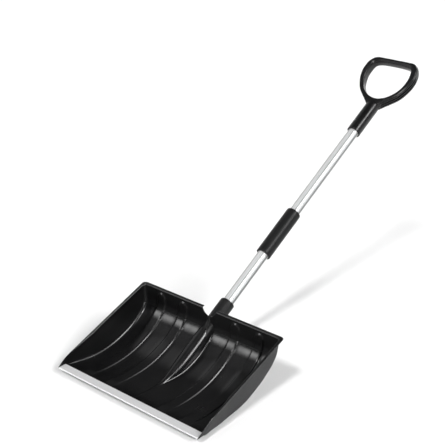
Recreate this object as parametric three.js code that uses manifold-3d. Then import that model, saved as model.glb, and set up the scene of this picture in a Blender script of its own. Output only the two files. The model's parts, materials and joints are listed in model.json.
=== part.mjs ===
// Snow shovel: a one-piece moulded scoop with an aluminium wear strip on its lip, a
// two-part tube handle joined by a sleeve, and a moulded D-grip. Spring buttons lock
// the lower tube in the scoop's socket and in the sleeve.
// Millimetres, +Z up, +X across the scoop, +Y from the lip towards the grip.
// The origin lies on the floor, under the middle of the shovel.

import * as THREE from 'three';
import { mergeVertices } from 'three/addons/utils/BufferGeometryUtils.js';
import Module from 'manifold-3d';

const wasm = await Module();
wasm.setup();

// ---- Driving dimensions ----

const GAP = 0.3; // room left between pieces that touch
const FAR = 400; // reach of a cutting solid that runs past everything

// Scoop. Side-view heights are measured from the top of the wear strip.
const LIP_HALF = 229; // half the length of the wear strip
const RIM_HALF = 232.5; // half the width over the rim flange
const RIM_REAR_Y = 318.5; // rear edge of the rim flange
const RIM_REAR_Z = 116;
const RIM_CORNER = 11; // radius of the flange's rear corners
const BASIN_CORNER = 9; // radius between side walls and back wall
const SCOOP_WALL = 3;
const BACK_WALL_Y = 308.5; // inner face of the back wall at the rim
const SIDE_LEAN = 0.114; // outward lean of the side walls for each millimetre of height

const RIB_CENTRES = [-162.5, -87, 87, 162.5];
const RIB_WIDTH = 31;
const RIB_HEIGHT = 3.5;
const RIB_TOP = 106;

const STRIP_DEPTH = 22;
const STRIP_SHEET = 0.8;
const LIP_THICKNESS = 2.2; // plastic inside the folded strip
const STRIP_RIVETS = 5;
const STRIP_RIVET_PITCH = 100;
const RIVET_RADIUS = 1.5;
const RIVET_HOLE = 1.8;
const RIVET_HEAD = 3.4;

// Handle. Distances along it are measured from the socket's open end.
const HANDLE_Y = 383.3;
const HANDLE_Z = 103.9;
const HANDLE_RISE = THREE.MathUtils.degToRad(29.37);
const TUBE_RADIUS = 15;
const TUBE_WALL = 1.5;
const SOCKET_RADIUS = 20;
const SOCKET_DEPTH = 150;
const RIDGE_TIP = -295; // front end of the ridge that the socket forms in the scoop
const TUBE_JOINT = 245;
const UPPER_TUBE_END = 734;
const SLEEVE_START = 168;
const SLEEVE_END = 322;
const SLEEVE_RADIUS = 20.5;

const GRIP_START = 639;
const GRIP_NECK = 752;
const GRIP_STEM_RADIUS = 19.8;
const GRIP_LEAN = THREE.MathUtils.degToRad(12); // the D leans up from the tubes
const GRIP_HEIGHT = 157;
const GRIP_DEPTH = 28;
const GRIP_ROUNDING = 6;

const BUTTON_RADIUS = 3.8;
const BUTTON_HOLE = 4.7; // radius of the holes that the buttons move in
const ARM_LENGTH = 32; // from the spring's bend to the button
const SPRING_WIDTH = 8;
const SPRING_SHEET = 0.7;
const SPRING_HALF = 12.5; // half the height of the spring inside the tube
const SPRING_OVERRUN = 6; // the spring runs on this far past its button
const STUB_RADIUS = 2; // the part of a button that is riveted through its arm
const SOCKET_BUTTON_AT = -45;
const SLEEVE_BUTTON_AT = 196;
const SLEEVE_SCREW_AT = 296;
const GRIP_SCREW_AT = 668;
const SCREW_RADIUS = 2;
const SCREW_HEAD = 3.8;

// ---- Materials ----

function moulded() {
  return new THREE.MeshStandardMaterial({ color: 0x161616, roughness: 0.42, metalness: 0 });
}

function anodised() {
  return new THREE.MeshStandardMaterial({ color: 0xc9cbce, roughness: 0.28, metalness: 1 });
}

function brushed() {
  return new THREE.MeshStandardMaterial({ color: 0xbfc1c4, roughness: 0.4, metalness: 1 });
}

function springSteel() {
  return new THREE.MeshStandardMaterial({ color: 0x8b8d92, roughness: 0.35, metalness: 1 });
}

// ---- Solids and booleans ----

function solid(geometry) {
  const bare = geometry.clone();
  bare.deleteAttribute('normal');
  bare.deleteAttribute('uv');
  const merged = mergeVertices(bare, 1e-4);
  const mesh = new wasm.Mesh({
    numProp: 3,
    vertProperties: new Float32Array(merged.attributes.position.array),
    triVerts: new Uint32Array(merged.index.array),
  });
  return new wasm.Manifold(mesh);
}

function geometryOf(manifold) {
  const mesh = manifold.getMesh();
  const geometry = new THREE.BufferGeometry();
  geometry.setAttribute('position', new THREE.BufferAttribute(mesh.vertProperties, 3));
  geometry.setIndex(new THREE.BufferAttribute(mesh.triVerts, 1));
  return geometry;
}

function piece(name, geometry, material) {
  const mesh = new THREE.Mesh(geometry, material);
  mesh.name = name;
  return mesh;
}

function point(x, y) {
  return new THREE.Vector2(x, y);
}

function rectangle(left, bottom, right, top) {
  return [point(left, bottom), point(right, bottom), point(right, top), point(left, top)];
}

function slab(outline, thickness) {
  const shape = new THREE.Shape(outline);
  return new THREE.ExtrudeGeometry(shape, { depth: thickness, bevelEnabled: false });
}

// An outline drawn as (x, y), filled from z = low to z = high.
function upward(outline, low, high) {
  return slab(outline, high - low).translate(0, 0, low);
}

// An outline drawn as (x, z), filled from y = front to y = back.
function rearward(outline, front, back) {
  return slab(outline, back - front).rotateX(Math.PI / 2).translate(0, back, 0);
}

// An outline drawn as (y, z), filled from x = left to x = right.
function across(outline, left, right) {
  const swap = new THREE.Matrix4().makeBasis(
    new THREE.Vector3(0, 1, 0),
    new THREE.Vector3(0, 0, 1),
    new THREE.Vector3(1, 0, 0),
  );
  return slab(outline, right - left).translate(0, 0, left).applyMatrix4(swap);
}

// A turned part on the Z axis, from [radius, height] pairs going round anticlockwise.
function turned(profile, segments = 32) {
  const points = profile.map(([radius, height]) => point(radius, height));
  if (profile[0][0] > 0) {
    points.push(points[0].clone());
  }
  return new THREE.LatheGeometry(points, segments).rotateX(Math.PI / 2);
}

function bar(radius, low, high, segments = 32) {
  return turned([[0, low], [radius, low], [radius, high], [0, high]], segments);
}

// A round pin square to the handle, towards its underside, at a distance up the handle.
function crossPin(radius, from, to, at, segments = 16) {
  const profile = [point(0, from), point(radius, from), point(radius, to), point(0, to)];
  return new THREE.LatheGeometry(profile, segments).translate(0, 0, at);
}

function mirroredInX(half) {
  return [...half, ...half.map((p) => point(-p.x, p.y)).reverse()];
}

// A quarter circle from +x to +y about a corner's centre.
function cornerArc(centre, radius, steps) {
  return Array.from({ length: steps + 1 }, (_, step) => {
    const angle = (step / steps) * (Math.PI / 2);
    return point(centre.x + radius * Math.cos(angle), centre.y + radius * Math.sin(angle));
  });
}

// ---- The handle's frame: +Z runs up the handle and +Y points to its underside ----

const handle = new THREE.Group();
handle.position.set(0, HANDLE_Y, HANDLE_Z);
handle.rotation.x = HANDLE_RISE - Math.PI / 2;
handle.updateMatrix();

function onHandle(geometry) {
  return solid(geometry.clone().applyMatrix4(handle.matrix));
}

// ---- Scoop ----

const LIP_TOP = -STRIP_SHEET - GAP;
const LIP_BOTTOM = LIP_TOP - LIP_THICKNESS;

// Inner face of the floor and back wall, from behind the strip to the rim, as (y, z).
function floorLine() {
  const crease = point(281, 39.3);
  const belly = new THREE.SplineCurve([
    point(24, -3.2),
    point(40, -7.3),
    point(60, -10.7),
    point(85, -13.4),
    point(118, -14.5),
    point(150, -12.8),
    point(185, -7),
    point(220, 4.5),
    point(251, 18.6),
    crease,
  ]);
  const bend = new THREE.QuadraticBezierCurve(crease, point(304.8, 59), point(306.2, 78));
  const rim = point(BACK_WALL_Y, RIM_REAR_Z);
  return [...belly.getPoints(18), ...bend.getPoints(6).slice(1), rim];
}

// Top edge of the side walls, from the lip to the rear, as (y, z).
function rimLine() {
  const nose = new THREE.QuadraticBezierCurve(point(0, -2), point(13, 14.5), point(50, 27));
  return [...nose.getPoints(6), point(BACK_WALL_Y, RIM_REAR_Z - 1), point(RIM_REAR_Y, RIM_REAR_Z)];
}

// A line moved sideways; a positive distance moves it to the right of its direction.
function offsetLine(line, distance) {
  return line.map((here, i) => {
    const before = line[Math.max(i - 1, 0)];
    const after = line[Math.min(i + 1, line.length - 1)];
    const along = after.clone().sub(before).normalize();
    return point(here.x + along.y * distance, here.y - along.x * distance);
  });
}

// An upright solid in the basin's plan: its side walls close in towards the rear and
// lean out as they rise. The plan is drawn at the height of the wear strip.
function basinPrism(outset) {
  const radius = BASIN_CORNER + outset;
  const rear = BACK_WALL_Y + 1 + outset;
  const half = [
    point(LIP_HALF + GAP + outset, -SCOOP_WALL),
    point(LIP_HALF + GAP + outset, STRIP_DEPTH),
    point(225.5 + outset, 60),
    point(222 + outset, 93),
    point(219.5 + outset, 120),
    point(218 + outset, 180),
    ...cornerArc(point(211 + outset - radius, rear - radius), radius, 4),
  ];
  const prism = upward(mirroredInX(half), -FAR, FAR);
  const corners = prism.attributes.position;
  for (let i = 0; i < corners.count; i += 1) {
    const lean = Math.sign(corners.getX(i)) * SIDE_LEAN * corners.getZ(i);
    corners.setX(i, corners.getX(i) + lean);
  }
  return solid(prism);
}

function basin() {
  const floor = floorLine();
  const outsideView = [
    point(GAP + STRIP_SHEET, LIP_BOTTOM),
    point(STRIP_DEPTH + GAP, LIP_BOTTOM),
    ...offsetLine(floor, SCOOP_WALL),
    ...rimLine().slice(0, -1).reverse(),
  ];
  const hollowView = [
    point(-FAR, LIP_TOP),
    point(STRIP_DEPTH - 1, LIP_TOP),
    ...floor,
    point(BACK_WALL_Y, FAR),
    point(-FAR, FAR),
  ];
  const outside = solid(across(outsideView, -RIM_HALF, RIM_HALF));
  const hollow = solid(across(hollowView, -RIM_HALF, RIM_HALF));
  return outside.intersect(basinPrism(SCOOP_WALL)).subtract(hollow.intersect(basinPrism(0)));
}

function rimFlange() {
  const top = rimLine();
  const band = [...top, ...offsetLine(top, SCOOP_WALL).reverse()];
  const cornerCentre = point(RIM_HALF - RIM_CORNER, RIM_REAR_Y - RIM_CORNER);
  const outline = mirroredInX([
    point(LIP_HALF + GAP + SCOOP_WALL, 0),
    ...cornerArc(cornerCentre, RIM_CORNER, 5),
  ]);
  return solid(across(band.reverse(), -RIM_HALF, RIM_HALF))
    .intersect(solid(upward(outline, -FAR, FAR)))
    .subtract(basinPrism(SCOOP_WALL / 2));
}

// A raised band that runs back along the floor, up the crease and ends under the rim.
function rib(centre) {
  const path = floorLine();
  path[path.length - 1] = point(307.7, RIB_TOP);
  const raised = offsetLine(path, -RIB_HEIGHT);
  raised[0] = path[0];
  const buried = offsetLine(path, SCOOP_WALL / 2);
  const half = RIB_WIDTH / 2;
  const band = across([...buried, ...raised.reverse()], centre - half, centre + half);
  const roundTop = new THREE.Shape()
    .moveTo(centre - half, -FAR)
    .lineTo(centre + half, -FAR)
    .lineTo(centre + half, RIB_TOP - half)
    .absarc(centre, RIB_TOP - half, half, 0, Math.PI);
  return solid(band).intersect(solid(rearward(roundTop.getPoints(8), 0, FAR)));
}

// The shallow opening in the rear rim above the socket.
function rimNotch() {
  const half = [
    point(0, 95),
    point(8, 96.5),
    point(14.5, 100),
    point(19, 105),
    point(26.5, 116),
    point(33, 125),
  ];
  const outline = [...half, ...half.slice(1).map((p) => point(-p.x, p.y)).reverse()];
  return solid(rearward(outline, 290, 340));
}

// Section across the handle of the ridge in the scoop: round above, straight below.
function ridgeSection(radius, skirt) {
  const round = Array.from({ length: 17 }, (_, step) => {
    const angle = Math.PI + (step / 16) * Math.PI;
    return point(radius * Math.cos(angle), radius * Math.sin(angle));
  });
  return [...round, point(radius, skirt), point(-radius, skirt)];
}

// Everything under the floor and behind the back wall, which the ridge doesn't reach.
function outsideBasin() {
  const line = offsetLine(floorLine(), SCOOP_WALL);
  const outline = [
    point(line[0].x, -FAR),
    point(BACK_WALL_Y + FAR, -FAR),
    point(BACK_WALL_Y + FAR, RIM_REAR_Z),
    ...line.reverse(),
  ];
  return solid(across(outline, -LIP_HALF, LIP_HALF));
}

function buttonHole(at) {
  return crossPin(BUTTON_HOLE, TUBE_RADIUS / 2, SLEEVE_RADIUS * 2, at, 20);
}

function socketAndRidge() {
  const ridge = onHandle(upward(ridgeSection(SOCKET_RADIUS, 60), RIDGE_TIP, -70));
  const foot = -SOCKET_DEPTH - SCOOP_WALL;
  const socket = onHandle(turned([
    [0, foot],
    [SOCKET_RADIUS, foot],
    [SOCKET_RADIUS, -4],
    [SOCKET_RADIUS - 1.2, -1.2],
    [SOCKET_RADIUS - 3, 0],
    [0, 0],
  ]));
  return ridge.subtract(outsideBasin()).add(socket);
}

function makeScoop() {
  const core = SOCKET_RADIUS - SCOOP_WALL;
  const grooveEnd = -SOCKET_DEPTH - 2 * SCOOP_WALL;
  const underGroove = onHandle(upward(ridgeSection(core, 80), RIDGE_TIP - 20, grooveEnd));
  const bore = onHandle(bar(TUBE_RADIUS + GAP, -SOCKET_DEPTH, 1));
  const stripEnd = LIP_HALF + GAP;
  const underStrip = rectangle(-FAR, -FAR, STRIP_DEPTH + GAP, LIP_BOTTOM);
  const beforeStrip = rectangle(-FAR, -FAR, GAP + STRIP_SHEET, FAR);
  const stripRoom = solid(across(underStrip, -stripEnd, stripEnd))
    .add(solid(across(beforeStrip, -stripEnd, stripEnd)));
  let scoop = basin().add(rimFlange()).subtract(rimNotch());
  RIB_CENTRES.forEach((centre) => {
    scoop = scoop.add(rib(centre));
  });
  scoop = scoop.add(socketAndRidge()).subtract(underGroove).subtract(bore);
  scoop = scoop.subtract(onHandle(buttonHole(SOCKET_BUTTON_AT)));
  scoop = scoop.subtract(stripRoom);
  stripRivetPlaces().forEach((x) => {
    const hole = bar(RIVET_HOLE, LIP_BOTTOM - 1, LIP_TOP - 0.5, 12);
    scoop = scoop.subtract(solid(hole.translate(x, STRIP_DEPTH / 2, 0)));
  });
  return piece('scoop', geometryOf(scoop), moulded());
}

// ---- Wear strip and its rivets ----

function stripRivetPlaces() {
  const middle = (STRIP_RIVETS - 1) / 2;
  return Array.from({ length: STRIP_RIVETS }, (_, i) => (i - middle) * STRIP_RIVET_PITCH);
}

function makeStrip() {
  const low = LIP_BOTTOM - GAP - STRIP_SHEET;
  const fold = 0.8; // corner taken off at each fold
  const outline = [
    point(fold, low),
    point(STRIP_DEPTH, low),
    point(STRIP_DEPTH, low + STRIP_SHEET),
    point(STRIP_SHEET, low + STRIP_SHEET),
    point(STRIP_SHEET, -STRIP_SHEET),
    point(STRIP_DEPTH, -STRIP_SHEET),
    point(STRIP_DEPTH, 0),
    point(fold, 0),
    point(0, -fold),
    point(0, low + fold),
  ];
  let strip = solid(across(outline, -LIP_HALF, LIP_HALF));
  stripRivetPlaces().forEach((x) => {
    const hole = bar(RIVET_HOLE, low - 1, low + STRIP_SHEET + 0.1, 12);
    strip = strip.subtract(solid(hole.translate(x, STRIP_DEPTH / 2, 0)));
  });
  return piece('wear_strip', geometryOf(strip), brushed());
}

function makeStripRivet(x, index) {
  const seat = LIP_BOTTOM - 2 * GAP - STRIP_SHEET;
  const rivet = turned([
    [0, seat - 1],
    [RIVET_HEAD - 1, seat - 1],
    [RIVET_HEAD, seat - 0.4],
    [RIVET_HEAD, seat],
    [RIVET_RADIUS, seat],
    [RIVET_RADIUS, LIP_TOP - 0.8],
    [0, LIP_TOP - 0.8],
  ], 12);
  rivet.translate(x, STRIP_DEPTH / 2, 0);
  return piece(`strip_rivet_${index + 1}`, rivet, brushed());
}

// ---- Tubes, sleeve and screws ----

function tube(from, to) {
  return turned([
    [TUBE_RADIUS - TUBE_WALL, from],
    [TUBE_RADIUS, from],
    [TUBE_RADIUS, to],
    [TUBE_RADIUS - TUBE_WALL, to],
  ]);
}

function makeLowerTube() {
  const drilled = solid(tube(GAP - SOCKET_DEPTH, TUBE_JOINT - GAP))
    .subtract(solid(buttonHole(SOCKET_BUTTON_AT)))
    .subtract(solid(buttonHole(SLEEVE_BUTTON_AT)));
  return piece('lower_tube', geometryOf(drilled), anodised());
}

function screwHole(at) {
  return crossPin(SCREW_RADIUS + GAP, TUBE_RADIUS / 2, SLEEVE_RADIUS * 2, at);
}

function makeUpperTube() {
  const drilled = solid(tube(TUBE_JOINT + GAP, UPPER_TUBE_END))
    .subtract(solid(screwHole(SLEEVE_SCREW_AT)))
    .subtract(solid(screwHole(GRIP_SCREW_AT)));
  return piece('upper_tube', geometryOf(drilled), anodised());
}

function makeSleeve() {
  const inner = TUBE_RADIUS + GAP;
  const body = turned([
    [inner, SLEEVE_START],
    [SLEEVE_RADIUS - 0.6, SLEEVE_START],
    [SLEEVE_RADIUS, SLEEVE_START + 0.8],
    [SLEEVE_RADIUS, SLEEVE_END - 4],
    [SLEEVE_RADIUS - 1.2, SLEEVE_END - 1.2],
    [SLEEVE_RADIUS - 3, SLEEVE_END],
    [inner, SLEEVE_END],
  ]);
  const drilled = solid(body)
    .subtract(solid(buttonHole(SLEEVE_BUTTON_AT)))
    .subtract(solid(screwHole(SLEEVE_SCREW_AT)));
  return piece('joint_sleeve', geometryOf(drilled), moulded());
}

// A low-headed screw through a moulded wall and the tube wall behind it.
function makeScrew(name, seatRadius, at) {
  const profile = [
    [0, TUBE_RADIUS - 5],
    [SCREW_RADIUS, TUBE_RADIUS - 5],
    [SCREW_RADIUS, seatRadius + GAP],
    [SCREW_HEAD, seatRadius + GAP],
    [SCREW_HEAD, seatRadius + GAP + 0.8],
    [SCREW_HEAD - 1.4, seatRadius + GAP + 1.6],
    [0, seatRadius + GAP + 1.6],
  ];
  const points = profile.map(([radius, height]) => point(radius, height));
  const screw = new THREE.LatheGeometry(points, 16);
  const mesh = piece(name, screw, springSteel());
  mesh.position.z = at;
  return mesh;
}

// ---- Spring buttons ----

// The fixed leg and the round bend of a hairpin spring that lies inside a tube.
function springLeg() {
  const bend = ARM_LENGTH;
  const inner = SPRING_HALF - SPRING_SHEET;
  const outline = new THREE.Shape()
    .moveTo(-SPRING_HALF, -SPRING_OVERRUN)
    .lineTo(-inner, -SPRING_OVERRUN)
    .lineTo(-inner, bend)
    .absarc(0, bend, inner, Math.PI, 0, true)
    .lineTo(SPRING_HALF, bend)
    .absarc(0, bend, SPRING_HALF, 0, Math.PI);
  return across(outline.getPoints(10), -SPRING_WIDTH / 2, SPRING_WIDTH / 2);
}

// The sprung arm, split from the leg at the bend, where it swings.
function springArm() {
  const inner = SPRING_HALF - SPRING_SHEET;
  const arm = across(
    rectangle(inner, -SPRING_OVERRUN, SPRING_HALF, ARM_LENGTH - GAP),
    -SPRING_WIDTH / 2,
    SPRING_WIDTH / 2,
  );
  const stubHole = crossPin(STUB_RADIUS + GAP, TUBE_RADIUS / 2, TUBE_RADIUS, 0);
  return geometryOf(solid(arm).subtract(solid(stubHole)));
}

// A domed button, riveted through the arm by a stub of its own.
function springButton(proudRadius) {
  const foot = SPRING_HALF + GAP;
  const stubEnd = SPRING_HALF - SPRING_SHEET - 0.6;
  const profile = [
    point(0, stubEnd),
    point(STUB_RADIUS, stubEnd),
    point(STUB_RADIUS, foot),
    point(BUTTON_RADIUS, foot),
    point(BUTTON_RADIUS, proudRadius - 3),
    point(3.3, proudRadius - 1.5),
    point(2.2, proudRadius - 0.4),
    point(0, proudRadius),
  ];
  return new THREE.LatheGeometry(profile, 16);
}

function makeSpringButton(name, at, proudRadius) {
  const unit = new THREE.Group();
  unit.position.z = at;
  unit.add(piece(`${name}_spring_leg`, springLeg(), springSteel()));
  unit.add(piece(`${name}_spring_arm`, springArm(), springSteel()));
  unit.add(piece(`${name}_button`, springButton(proudRadius), springSteel()));
  return unit;
}

// ---- D-grip ----

function gripOutline() {
  const half = new THREE.SplineCurve([
    point(16, -8),
    point(28, 6),
    point(46, 22),
    point(64, 41),
    point(79, 70),
    point(86, 100),
    point(84, 124),
  ]).getPoints(14);
  half.push(point(80, 140), point(74, 149), point(65, 155), point(58, GRIP_HEIGHT));
  return mirroredInX(half);
}

function handOpening() {
  const half = new THREE.SplineCurve([
    point(8, 19.8),
    point(16, 21.5),
    point(29, 27),
    point(49, 44),
    point(62, 66),
    point(68, 92),
    point(67, 114),
    point(62, 130),
    point(50, 137),
    point(28, 140.5),
  ]).getPoints(22);
  return mirroredInX(half);
}

function makeGrip() {
  const shape = new THREE.Shape(gripOutline());
  shape.holes.push(new THREE.Path(handOpening()));
  const handGrip = new THREE.ExtrudeGeometry(shape, {
    depth: GRIP_DEPTH - 2 * GRIP_ROUNDING,
    bevelThickness: GRIP_ROUNDING,
    bevelSize: GRIP_ROUNDING - 1,
    bevelOffset: 1 - GRIP_ROUNDING,
    bevelSegments: 3,
  });
  handGrip.translate(0, 0, GRIP_ROUNDING - GRIP_DEPTH / 2);
  handGrip.rotateX(Math.PI / 2);
  handGrip.rotateX(GRIP_LEAN);
  handGrip.translate(0, 0, GRIP_NECK);
  const stem = turned([
    [0, GRIP_START],
    [GRIP_STEM_RADIUS - 0.6, GRIP_START],
    [GRIP_STEM_RADIUS, GRIP_START + 0.8],
    [GRIP_STEM_RADIUS, GRIP_NECK - 6],
    [GRIP_STEM_RADIUS - 4, GRIP_NECK + 8],
    [0, GRIP_NECK + 12],
  ]);
  const grip = solid(handGrip)
    .add(solid(stem))
    .subtract(solid(bar(TUBE_RADIUS + GAP, GRIP_START - 1, UPPER_TUBE_END + GAP)))
    .subtract(solid(screwHole(GRIP_SCREW_AT)));
  return piece('grip', geometryOf(grip), moulded());
}

// ---- Assembly ----

const blade = new THREE.Group();
blade.add(makeScoop(), makeStrip());
stripRivetPlaces().forEach((x, index) => blade.add(makeStripRivet(x, index)));

handle.add(makeLowerTube(), makeUpperTube(), makeSleeve(), makeGrip());
handle.add(makeScrew('sleeve_screw', SLEEVE_RADIUS, SLEEVE_SCREW_AT));
handle.add(makeScrew('grip_screw', GRIP_STEM_RADIUS, GRIP_SCREW_AT));
handle.add(makeSpringButton('socket', SOCKET_BUTTON_AT, SOCKET_RADIUS + 1.8));
handle.add(makeSpringButton('sleeve', SLEEVE_BUTTON_AT, SLEEVE_RADIUS + 1.8));

const shovel = new THREE.Group();
shovel.add(blade, handle);

// Stand the shovel on the floor with its middle over the origin.
const extent = new THREE.Box3().setFromObject(shovel, true);
shovel.position.y = -(extent.min.y + extent.max.y) / 2;
shovel.position.z = -extent.min.z;

export default shovel;
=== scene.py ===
import json
import math

import bmesh
import bpy
import numpy as np
from mathutils import Matrix, Vector


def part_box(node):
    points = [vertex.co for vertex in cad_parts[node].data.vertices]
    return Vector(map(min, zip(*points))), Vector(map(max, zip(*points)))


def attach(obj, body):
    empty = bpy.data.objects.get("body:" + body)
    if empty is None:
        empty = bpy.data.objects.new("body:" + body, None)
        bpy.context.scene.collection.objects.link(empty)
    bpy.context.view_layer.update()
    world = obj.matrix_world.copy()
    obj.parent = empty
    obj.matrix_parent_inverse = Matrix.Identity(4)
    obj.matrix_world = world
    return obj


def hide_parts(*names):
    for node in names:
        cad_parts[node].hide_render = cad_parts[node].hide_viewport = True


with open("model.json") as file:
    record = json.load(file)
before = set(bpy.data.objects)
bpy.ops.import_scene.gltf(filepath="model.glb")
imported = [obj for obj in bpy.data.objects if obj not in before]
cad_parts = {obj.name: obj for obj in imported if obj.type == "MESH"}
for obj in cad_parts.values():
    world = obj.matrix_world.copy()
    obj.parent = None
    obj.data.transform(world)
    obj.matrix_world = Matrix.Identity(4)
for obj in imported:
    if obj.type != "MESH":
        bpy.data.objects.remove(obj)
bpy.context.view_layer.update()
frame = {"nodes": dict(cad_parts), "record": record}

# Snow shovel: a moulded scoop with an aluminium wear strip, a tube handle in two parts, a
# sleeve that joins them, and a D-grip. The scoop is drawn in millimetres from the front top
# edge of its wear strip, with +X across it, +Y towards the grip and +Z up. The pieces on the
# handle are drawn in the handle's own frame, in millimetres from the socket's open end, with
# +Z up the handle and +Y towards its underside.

MM = 0.001
WELD_DISTANCE = 0.01 * MM

# ---- Places that the frame gives ----

strip_low, strip_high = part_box("wear_strip")
LIP = Vector((0, strip_low.y, strip_high.z))

SPRING_PIVOT_IN = 12.15  # from the handle's axis to the hinge of a spring button
SPRING_PIVOT_AT = -13  # the socket button's hinge, along the handle

hinges = {j["name"]: Vector(j["pos_m"]) for j in frame["record"]["behaviour"]["joints"]}
socket_hinge = hinges["socket_button_press"]
HANDLE_UP = (hinges["sleeve_button_press"] - socket_hinge).normalized()
HANDLE_UNDER = Vector((0, HANDLE_UP.z, -HANDLE_UP.y))
MOUTH = socket_hinge - MM * (SPRING_PIVOT_IN * HANDLE_UNDER + SPRING_PIVOT_AT * HANDLE_UP)
HANDLE = Matrix.Translation(MOUTH) @ Matrix(
    ((1, 0, 0), (0, HANDLE_UNDER.y, HANDLE_UP.y), (0, HANDLE_UNDER.z, HANDLE_UP.z))
).to_4x4()
HANDLE_LEAN = math.atan2(HANDLE_UP.z, HANDLE_UP.y) - math.pi / 2  # turns +Z to the handle
HANDLE_TURN = (-HANDLE_LEAN, 0, 0)  # turns the handle to +Z

# ---- Scoop dimensions ----

WALL = 3.0
LIP_SHEET = 2.2
LIP_Y = 1.1  # front edge of the scoop's own sheet, inside the wear strip's fold
LIP_DROP = 1.1  # how far the sheet's inner face lies under the strip's top
LIP_END_Y = 22.3  # the lip's thinner sheet ends here, past the wear strip
RIM_HALF = 232.5
RIM_REAR_Y = 318.5
RIM_CORNER = 11.0
RIM_ROUND = 3.5  # radius of the rim's inner edge
RIM_NOSE = (-2.0, (13.0, 14.5), (50.0, 27.0))  # height at the lip, the curve's pull, its end
RIM_RISE = 88.0  # from the end of the nose to the back wall
RIM_LOWEST = -0.2  # the rim's top at the lip
WALL_LOWEST = -0.9  # the top of the side wall's inner face there
REAR_FLANGE_SLOPE = 0.05
RIM_TOP_POINTS = 10  # points of the rim's section down to the middle of its outer edge
RIM_DROOP = 0.7  # fall of the flange towards its outer edge
RIM_EDGE = 1.3  # radius of the flange's outer edge
BACK_WALL_Y = 308.5
WALL_TOP_Y = BACK_WALL_Y - 0.3  # top of the back wall's inner face, under the rim's round
BACK_WALL_FOOT_Y = 290.0  # what lies past this belongs to the back wall
SIDE_LEAN = 0.114  # outward lean of the side walls for each step up
BASIN_CORNER = 9.0  # radius between a side wall and the back wall, at the rim
RIB_CENTRES = (87.0, 162.5)
RIB_HALF = 15.5
RIB_HEIGHT = 3.5
RIB_TOP = 106.0
RIB_SHOULDER = 3.4  # width of the flat slope at each side of a rib, measured along the floor
RIB_SOFTNESS = 0.8  # how softly that slope meets the floor and the rib's top
# The notch in the back wall round the socket: (height, half width).
NOTCH = ((95, 0.3), (96.5, 8), (100, 14.5), (105, 19), (116, 26.5), (125, 33))
BACK_WALL_Z = 78.0  # where the back wall rises straight from the crease
MATTE_ABOVE = 62.0  # the back wall's matte finish, with its painted shade, starts here
PIP_RADIUS = 4.0
PIP_HEIGHT = 3.2
SOCKET_RADIUS = 20.0
FLUTES = 30
FLUTE_DEPTH = 0.4
RIDGE_FOOT = 14.0  # least half width of the columns over the ridge
RIDGE_TAPER = 8.0  # how softly the ridge over the socket runs out in the floor
RIDGE_NOSE_RADIUS = 8.0
RIDGE_NOSE_HEIGHT = 30.0  # the ridge narrows to its nose below this height
STRIP_DEPTH = 22.0
STRIP_SHEET = 0.8
GAP = 0.3  # between pieces that touch

# ---- Handle dimensions: places are along it, from the socket's open end ----

TUBE_RADIUS = 15.0
TUBE_WALL = 1.5
SOCKET_DEPTH = 150.0
TUBE_JOINT = 245.0
UPPER_TUBE_END = 734.0
SLEEVE_START = 168.0
SLEEVE_END = 322.0
SLEEVE_RADIUS = 20.5
GRIP_START = 639.0
GRIP_SEAM = 690.0
GRIP_NECK = 752.0
GRIP_STEM_RADIUS = 19.8
GRIP_LEAN = math.radians(12)
GRIP_DEPTH = 28.0
GROOVE_DEPTH = 4.0
GROOVE_SPACING = 8.6
BUTTON_HOLE = 4.7  # radius
BUTTON_STANDS_OUT = 1.8
SOCKET_BUTTON_AT = -45.0
SLEEVE_BUTTON_AT = 196.0
SLEEVE_SCREW_AT = 296.0
GRIP_SCREW_AT = 668.0
SCREW_RADIUS = 2.0
SCREW_HEAD = 3.8
PIN_START = 8  # the cutters of holes reach from here to PIN_END, out from the handle's axis
PIN_END = 30


# ---- Curves ----

def spline(points, steps):
    """A smooth curve through points, with so many steps between each two."""
    p = np.array([points[0], *points, points[-1]], float)
    t = np.linspace(0, 1, steps, endpoint=False)[:, None]
    spans = []
    for a, b, c, d in zip(p, p[1:], p[2:], p[3:]):
        square = (2 * a - 5 * b + 4 * c - d) * t**2
        cube = (3 * b - a - 3 * c + d) * t**3
        spans.append(0.5 * (2 * b + (c - a) * t + square + cube))
    return np.vstack([*spans, p[-1:]])


def smoothstep(low, high, value):
    t = np.clip((value - low) / (high - low), 0, 1)
    return t * t * (3 - 2 * t)


def lengths(line):
    """Distance along a line at each of its points."""
    steps = np.hypot(*np.diff(line, axis=0).T)
    return np.concatenate([[0], np.cumsum(steps)])


def respaced(line, count):
    """The same line with so many points, evenly spaced."""
    along = lengths(line)
    wanted = np.linspace(0, along[-1], count)
    return np.column_stack([np.interp(wanted, along, line[:, i]) for i in range(2)])


# ---- Mesh making ----

def weld(bm, sharp_angle):
    """Joins points that coincide, turns the faces outwards and keeps the sharp edges sharp."""
    bmesh.ops.remove_doubles(bm, verts=bm.verts, dist=WELD_DISTANCE)
    bmesh.ops.recalc_face_normals(bm, faces=bm.faces)
    for face in bm.faces:
        face.smooth = True
    for edge in bm.edges:
        if len(edge.link_faces) == 2 and edge.calc_face_angle() > sharp_angle:
            edge.smooth = False


def mesh_object(name, points, faces, materials, face_materials=None, sharp=40):
    """An object from points in millimetres, in the frame that it is moved to later."""
    mesh = bpy.data.meshes.new(name)
    mesh.from_pydata([tuple(MM * c for c in p) for p in points], [], faces)
    if face_materials is not None:
        mesh.polygons.foreach_set("material_index", face_materials)
    bm = bmesh.new()
    bm.from_mesh(mesh)
    weld(bm, math.radians(sharp))
    bm.to_mesh(mesh)
    bm.free()
    for material in materials:
        mesh.materials.append(material)
    made = bpy.data.objects.new(name, mesh)
    bpy.context.scene.collection.objects.link(made)
    return made


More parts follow.
